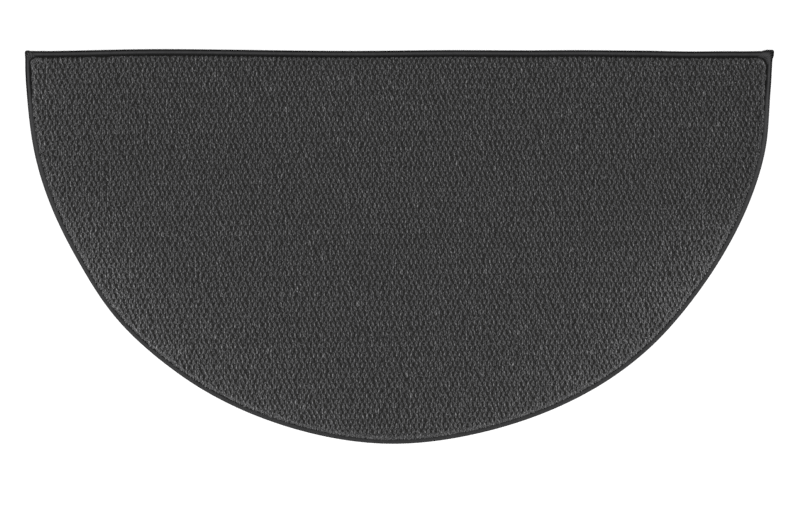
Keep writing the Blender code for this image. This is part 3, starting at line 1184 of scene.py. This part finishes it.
@dataclass
class FoldedTape:
    """A cloth tape folded over the rug's edge, sewn down along its inner side."""

    height: float = 5.4 * MM
    nose_steps: int = 8
    clearance: float = 0.3 * MM
    stitch_inset: float = 1.35 * MM
    stitch_height: float = 3.95 * MM
    lip_height: float = 4.45 * MM
    thickness: float = 0.75 * MM
    pucker_pitch: float = 3.6 * MM
    pucker: float = 0.10 * MM
    ripple: float = 0.14 * MM
    left_patch: float = 9.3 * MM
    right_patch: float = 19.5 * MM
    patch_rise: float = 0.45 * MM
    crease: float = 0.22 * MM
    creases: int = 9
    dimple: float = 0.18 * MM
    dimple_pitch: float = 4.6 * MM
    right_dimples: float = 0.35
    patch_blur: float = 0.7 * MM
    ripple_length: float = 0.19
    ripples: int = 8
    ripple_phase: float = 6.3
    fold_shade: float = 0.93
    lip_shade: float = 0.8
    curve_shade_share: float = 0.3
    darkest: float = 0.06
    rim_light_gain: float = 0.28
    under_shade_share: float = 0.4
    patch_shade_cut: float = 0.6
    dimple_shading: float = 0.9
    crease_shading: float = 0.18
    left_dimple_start: float = 0.8
    right_dimple_start: float = 0.5
    crease_span: tuple[float, float] = (6.0 * MM, 9.0 * MM)
    fold_span: tuple[float, float] = (2.2 * MM, 3.5 * MM)
    lip_span: tuple[float, float] = (0.67, 0.85)
    shoulder_span: tuple[float, float] = (2.0 * MM, 5.0 * MM)
    wave_lift: float = 0.5
    wave_sway: float = 0.6

    def section(self, width: np.ndarray) -> tuple[np.ndarray, np.ndarray, np.ndarray]:
        """Works out the folded section for each width.

        Args:
            width: the folded tape's width at each sample.

        Returns:
            Distances from the edge, heights, and which points lie on the top.
        """
        radius = self.height / 2.0
        turn = np.linspace(-math.pi / 2.0, math.pi / 2.0, self.nose_steps + 1)
        free = width[:, None]
        one = np.ones_like(free)
        seam = free - self.stitch_inset
        spare = np.maximum(seam - radius - 0.9 * MM, 0.1 * MM)
        # Each row below is a point's distance from the edge and its height
        fixed = (
            (free, 0.0),
            (seam, 0.45 * MM),
            (radius + spare, 0.0),
        )
        top = (
            (radius + 0.45 * spare, self.height - 0.05 * MM),
            (radius + 0.80 * spare, self.height - 0.30 * MM),
            (radius + spare + 0.25 * MM, self.height - 0.75 * MM),
            (seam, self.stitch_height),
            (free - 0.6 * MM, self.lip_height),
            (free - 0.1 * MM, self.lip_height - 0.12 * MM),
        )
        under = (
            (free, self.lip_height - self.thickness),
            (seam, self.stitch_height - 0.5 * MM),
            (radius + 0.6 * spare, self.height - self.thickness - 0.4 * MM),
            (one * 1.3 * MM, radius),
            (radius + 0.6 * spare, self.thickness),
            (free - 0.4 * MM, self.thickness),
        )
        nose = [(one * radius * (1.0 - math.cos(a)), radius * (1.0 + math.sin(a))) for a in turn]
        rows = [*fixed, *nose, *top, *under]
        distance = np.concatenate([row[0] * one for row in rows], axis=1)
        height = np.array([row[1] for row in rows])[None, :] * one
        on_top = np.zeros(len(rows))
        on_top[len(fixed) + self.nose_steps // 2 : len(rows) - len(under)] = 1.0
        return distance, height, on_top

    def patches(self, path: EdgePath) -> np.ndarray:
        """Returns how much of a folded corner end lies over each sample."""
        right, left = path.corner_distance()
        if right.min() > self.clearance:
            return np.zeros(len(right))
        sides = ((left, self.left_patch), (right, self.right_patch))
        blur = self.patch_blur
        return np.maximum(*(fade_share(end - blur, end + blur, away) for away, end in sides))

    def corner_relief(self, path: EdgePath, distance: np.ndarray) -> tuple[np.ndarray, np.ndarray]:
        """Works out the dimples and creases of the two folded ends.

        Args:
            path: the stretch of the edge that the tape covers.
            distance: each point's distance from the edge.

        Returns:
            The dimples, mostly at the left end, and the creases of the right end.
        """
        right, left = path.corner_distance()
        along = np.cos(left * TURN / self.dimple_pitch)
        # Rises and falls once over four points of the section
        across = np.cos(TURN / 4.0 * np.arange(distance.shape[1]) + TURN / 8.0)
        on_left = fade_share(self.left_dimple_start * self.left_patch, self.left_patch, left)
        on_right = fade_share(self.right_dimple_start * self.right_patch, self.right_patch, right)
        marks = along * (on_left + self.right_dimples * on_right)
        creases = np.cos(right / self.right_patch * self.creases * math.pi) * on_right
        near = fade_share(*self.crease_span, distance)
        return marks[:, None] * across[None, :], near * creases[:, None]

    def tone(self, path: EdgePath, distance: np.ndarray, on_top: np.ndarray) -> np.ndarray:
        """Works out how light the cloth is: painted shade at its fold and beside the pile, painted light and
        shade on the folded ends' dimples and creases, and painted light where the edge faces sideways.

        Args:
            path: the stretch of the edge that the tape covers.
            distance: each point's distance from the edge.
            on_top: which points of the section lie on the top.

        Returns:
            Each point's tone, about 1.
        """
        curve_weight = self.curve_shade_share + (1.0 - self.curve_shade_share) * path.near_corner()
        shaded = np.where(path.place < path.left_corner, 1.0, curve_weight)[:, None]
        free = path.width[:, None] - self.clearance
        shown = self.under_shade_share + (1.0 - self.under_shade_share) * on_top
        fold = fade_share(*self.fold_span, distance) * shown
        start, stop = (share * free for share in self.lip_span)
        lip = smooth_share(start, stop, distance) * on_top
        lip = lip * (1.0 - self.patch_shade_cut * self.patches(path)[:, None])
        dimples, creases = self.corner_relief(path, distance)
        # Painted shade on the fold and on the lip beside the pile, weaker along the curve and underneath,
        # and lighter on the folded ends
        tone = 1.0 - shaded * (self.fold_shade * fold + self.lip_shade * lip)
        # Painted light and shade on the folded ends: lighter where the dimples and creases rise, darker
        # where they sink
        marks = self.dimple_shading * dimples + self.crease_shading * creases
        tone = np.maximum(tone + on_top * marks, self.darkest)
        # Painted light on the tape where the edge faces left or right
        return tone * (1.0 + self.rim_light_gain * path.sideways()[:, None])

    def ripple_line(self, along: np.ndarray) -> np.ndarray:
        """Returns the tape's small unevenness at each place along it."""
        chance = np.random.default_rng(SEED + len(along))
        waves = np.zeros(len(along))
        for count in range(1, self.ripples + 1):
            phase = chance.random() * self.ripple_phase
            angle = TURN * along * count / self.ripple_length + phase
            waves += self.ripple / count * np.sin(angle)
        return waves

    def build(self, name: str, path: EdgePath, cloth: bpy.types.Material) -> bpy.types.Object:
        """Builds one length of tape.

        Args:
            name: the piece's name.
            path: the stretch of the edge that the tape covers.
            cloth: the tape's material.

        Returns:
            The tape.
        """
        distance, height, on_top = self.section(path.width - self.clearance)
        along = path_places(path.nose)
        inner = smooth_share(*self.shoulder_span, distance)
        puckers = self.pucker * np.cos(TURN * along / self.pucker_pitch)[:, None]
        waves = on_top * self.ripple_line(along)[:, None]
        dimples, creases = self.corner_relief(path, distance)
        relief = self.dimple * dimples + self.crease * creases * (distance > 0.0)
        lift = puckers * inner + self.patch_rise * self.patches(path)[:, None] + relief
        height = height + on_top * lift + self.wave_lift * waves
        distance = distance + self.wave_sway * waves * inner
        share = (distance / path.width[:, None])[:, :, None]
        plan = path.nose[:, None, :] + (path.wall - path.nose)[:, None, :] * share
        grid = np.concatenate([plan, np.maximum(height, 0.0)[:, :, None]], axis=2)
        middle = np.stack([distance[len(distance) // 2], height[len(height) // 2]], axis=1)
        across = path_places(np.concatenate([middle, middle[:1]]))
        rows = max(int(round(math.sqrt(along[-1] / across[-1]))), 1)
        mesh = loft(name, grid, along, across, rows)
        store(mesh, "tone", np.concatenate([self.tone(path, distance, on_top).ravel(), [1.0, 1.0]]))
        mesh.materials.append(cloth)
        return new_piece(name, mesh)


@dataclass
class StitchRun:
    """A run of stitches that sews a tape down, each with a thread above and one below."""

    pitch: float = 3.6 * MM
    length: float = 2.9 * MM
    radius: float = 0.30 * MM
    drop: float = 3.3 * MM
    crown: float = 0.9
    dip: float = 2.2
    slip: float = math.radians(7.0)
    sides: int = 4
    rings: int = 3

    def thread(self, upward: float) -> np.ndarray:
        """Returns the rings and tips of a short thread, bowed up or down."""
        share = np.linspace(-1.0, 1.0, self.rings)
        bow = upward * self.radius * (self.crown - self.dip * share**4)
        centres = np.stack([share * self.length / 2.0, 0.0 * share, bow], axis=1)
        turns = np.arange(self.sides) * TURN / self.sides
        ring = np.stack([0.0 * turns, np.cos(turns), np.sin(turns)], axis=1) * self.radius
        grid = centres[:, None, :] + ring[None, :, :]
        reach = np.array([self.radius, 0.0, -upward * self.radius])
        tips = [centres[0] + reach * [-1.0, 0.0, 1.0], centres[-1] + reach]
        return np.concatenate([grid.reshape(-1, 3), tips])

    def stitch(self) -> bpy.types.Object:
        """Builds one stitch, whose threads' ends dip into the tape."""
        below = self.thread(-1.0) - [0.0, 0.0, self.drop]
        skin = YarnLoop("stitch", (), self.sides).skin
        return skin("stitch", [self.thread(1.0), below], self.rings)

    def tree(self) -> NodeTree:
        """Returns the tree that lays stitches end to end along a curve."""
        inputs = {"Stitch": "Object", "Pitch": "Float", "Slip": "Float", "Thread": "Material"}
        tree = NodeTree("stitch_run", inputs)
        spaced = tree.step(
            "GeometryNodeResampleCurve",
            {"Curve": tree.given("Geometry"), "Length": tree.given("Pitch")},
            mode="LENGTH",
        )
        tangent = tree.step("GeometryNodeInputTangent", {}).outputs[0]
        slip = tree.product(tree.random(-1.0, 1.0, SEED + 7), tree.given("Slip"))
        lean = tree.step("ShaderNodeCombineXYZ", {"Z": slip}).outputs[0]
        heading = tree.step(
            "FunctionNodeAlignRotationToVector",
            {"Rotation": lean, "Vector": tangent},
            axis="X",
            pivot_axis="Z",
        )
        turned = tree.step(
            "FunctionNodeRotateRotation", {"Rotation": heading.outputs[0], "Rotate By": lean}
        )
        info = tree.step("GeometryNodeObjectInfo", {"Object": tree.given("Stitch")})
        stitches = tree.step(
            "GeometryNodeInstanceOnPoints",
            {
                "Points": spaced.outputs[0],
                "Instance": info.outputs["Geometry"],
                "Rotation": turned.outputs[0],
            },
        )
        tree.end(stitches.outputs[0], tree.given("Thread"))
        return tree

    def build(
        self, name: str, paths: list[np.ndarray], thread: bpy.types.Material
    ) -> bpy.types.Object:
        """Builds the stitches along some paths.

        Args:
            name: the piece's name.
            paths: the lines that the stitches follow.
            thread: the stitches' material.

        Returns:
            The stitches, as one plain mesh.
        """
        curve = bpy.data.curves.new(name, "CURVE")
        curve.dimensions = "3D"
        for path in paths:
            spline = curve.splines.new("POLY")
            spline.points.add(len(path) - 1)
            spline.points.foreach_set("co", add_column(path, 1.0).ravel())
        guide = new_piece(name + "_guide", curve)
        stitch = self.stitch()
        bpy.context.scene.collection.objects.link(stitch)
        self.tree().put_on(
            guide,
            {"Stitch": stitch, "Pitch": self.pitch, "Slip": self.slip, "Thread": thread},
        )
        piece = plain_mesh(guide, name)
        bpy.data.objects.remove(stitch, do_unlink=True)
        return piece


@dataclass
class BoundEdge:
    """The two tapes and their stitches, laid round the rug."""

    tape: FoldedTape
    stitches: StitchRun
    tack_depths: tuple[float, ...] = (2.0 * MM, 3.6 * MM, 5.2 * MM)
    tack_margin: float = 1.4 * MM
    seam_margin: int = 4
    seam_every: int = 3

    def stretches(self, edge: EdgePath) -> dict[str, EdgePath]:
        """Splits the edge where the frame's two tapes meet."""
        low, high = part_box("straight_binding")
        x = edge.nose[:, 0]
        inside = np.flatnonzero((edge.place < edge.left_corner) & (x > low.x) & (x < high.x))
        count = len(edge.place)
        after = np.arange(inside[-1], count + inside[0] + 1) % count
        return {"straight": edge.part(inside), "curved": edge.part(after)}

    def seam_line(self, path: EdgePath, height: float) -> np.ndarray:
        """Returns the line that a tape's stitches follow at a height."""
        place = path.inset(path.width - self.tape.clearance - self.tape.stitch_inset)
        return add_column(place, height)[self.seam_margin : -self.seam_margin : self.seam_every]

    def tack_lines(self, path: EdgePath) -> list[np.ndarray]:
        """Returns the short lines of stitches that hold the left folded end."""
        _, left = path.corner_distance()
        end = path.part(np.flatnonzero(left < self.tape.left_patch - self.tack_margin))
        height = self.tape.height + self.tape.patch_rise
        depths = [np.full(len(end.place), depth) for depth in self.tack_depths]
        return [add_column(end.inset(depth), height) for depth in depths]

    def build(
        self, edge: EdgePath, cloth: bpy.types.Material, thread: bpy.types.Material
    ) -> dict[str, tuple[bpy.types.Object, bpy.types.Object]]:
        """Builds both tapes with their stitches.

        Args:
            edge: the rug's edge.
            cloth: the tapes' material.
            thread: the stitches' material.

        Returns:
            Each tape and its stitches, by the stretch of edge that they cover.
        """
        made = {}
        for name, path in self.stretches(edge).items():
            tape = self.tape.build(name + "_tape", path, cloth)
            lines = [self.seam_line(path, self.tape.stitch_height)]
            if name == "curved":
                lines += self.tack_lines(path)
            made[name] = (tape, self.stitches.build(name + "_stitches", lines, thread))
        return made


@dataclass
class Studio:
    """Pale floor, soft lights and the camera, straight above the rug."""

    floor_size: float = 8.0
    floor_drop: float = 0.4 * MM
    lens: float = 80.0
    sensor: float = 36.0
    camera_place: tuple[float, float, float] = (0.0013, -0.0299, 2.7747)
    side_reach: float = 1.2
    side_back: float = -1.0
    side_height: float = 1.4
    side_size: float = 1.0
    side_power: float = 7.0
    top_height: float = 3.6
    top_size: float = 1.6
    top_power: float = 125.0
    sky: float = 0.95

    def lamp(self, name: str, place: tuple[float, float, float], size: float, power: float) -> None:
        """Adds a square soft light that faces the middle of the rug."""
        light = bpy.data.lights.new(name, "AREA")
        light.size = size
        light.energy = power
        lamp = new_piece(name, light)
        lamp.location = place
        lamp.rotation_euler = (-Vector(place)).to_track_quat("-Z", "Y").to_euler()

    def build(self, finish: bpy.types.Material) -> bpy.types.Object:
        """Sets up the floor, the lights and the camera.

        Args:
            finish: the floor's material.

        Returns:
            The floor.
        """
        half = self.floor_size / 2.0
        mesh = bpy.data.meshes.new("floor")
        corners = [(-half, -half), (half, -half), (half, half), (-half, half)]
        mesh.from_pydata([(x, y, -self.floor_drop) for x, y in corners], [], [[0, 1, 2, 3]])
        mesh.materials.append(finish)
        floor = new_piece("floor", mesh)
        for name, side in (("left_light", -1.0), ("right_light", 1.0)):
            place = (side * self.side_reach, self.side_back, self.side_height)
            self.lamp(name, place, self.side_size, self.side_power)
        self.lamp("top_light", (0.0, 0.0, self.top_height), self.top_size, self.top_power)
        world = bpy.data.worlds.new("soft_sky")
        world.use_nodes = True
        sky = next(n for n in world.node_tree.nodes if n.type == "BACKGROUND")
        sky.inputs["Color"].default_value = (1.0, 1.0, 1.0, 1.0)
        sky.inputs["Strength"].default_value = self.sky
        bpy.context.scene.world = world
        bpy.context.scene.view_settings.view_transform = "Standard"
        bpy.context.scene.cycles.use_denoising = False
        data = bpy.data.cameras.new("plan_camera")
        data.lens = self.lens
        data.sensor_width = self.sensor
        camera = new_piece("plan_camera", data)
        camera.location = self.camera_place
        bpy.context.scene.camera = camera
        return floor


def seat(piece: bpy.types.Object, slot: str, *nodes: str) -> None:
    """Fixes a piece to the rug's body, hides what it stands for and logs its triangles."""
    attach(piece, BODY)
    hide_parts(*nodes)
    triangles = sum(len(face.vertices) - 2 for face in piece.data.polygons)
    LOG.info("%s: %d triangles, stands for %s", piece.name, triangles, ", ".join(nodes))


def main() -> None:
    """Builds the rug and its studio, and reports each piece."""
    logging.basicConfig(level=logging.INFO, format="%(name)s %(message)s")
    edge = EdgeSurvey().trace()
    LOG.info("edge: %d samples along %.3f m", len(edge.place), edge.length)
    Studio().build(FloorFinish().make())
    backing = Backing()
    cloth = backing.build(edge, BackingFinish().make())
    seat(cloth, PILE_SLOT, "rug_field")
    yarn = YarnFinish().make()
    rows = [piece for pile in (TALL_ROWS, SHORT_ROWS) for piece in pile.build(edge, yarn)]
    for piece in rows:
        seat(piece, PILE_SLOT, "rug_field")
    bound = BoundEdge(FoldedTape(), StitchRun())
    sewn = bound.build(edge, TapeFinish().make(), ThreadFinish().make())
    for name, pieces in sewn.items():
        for piece in pieces:
            seat(piece, TAPE_SLOT, name + "_binding")


if __name__ == "__main__":
    main()
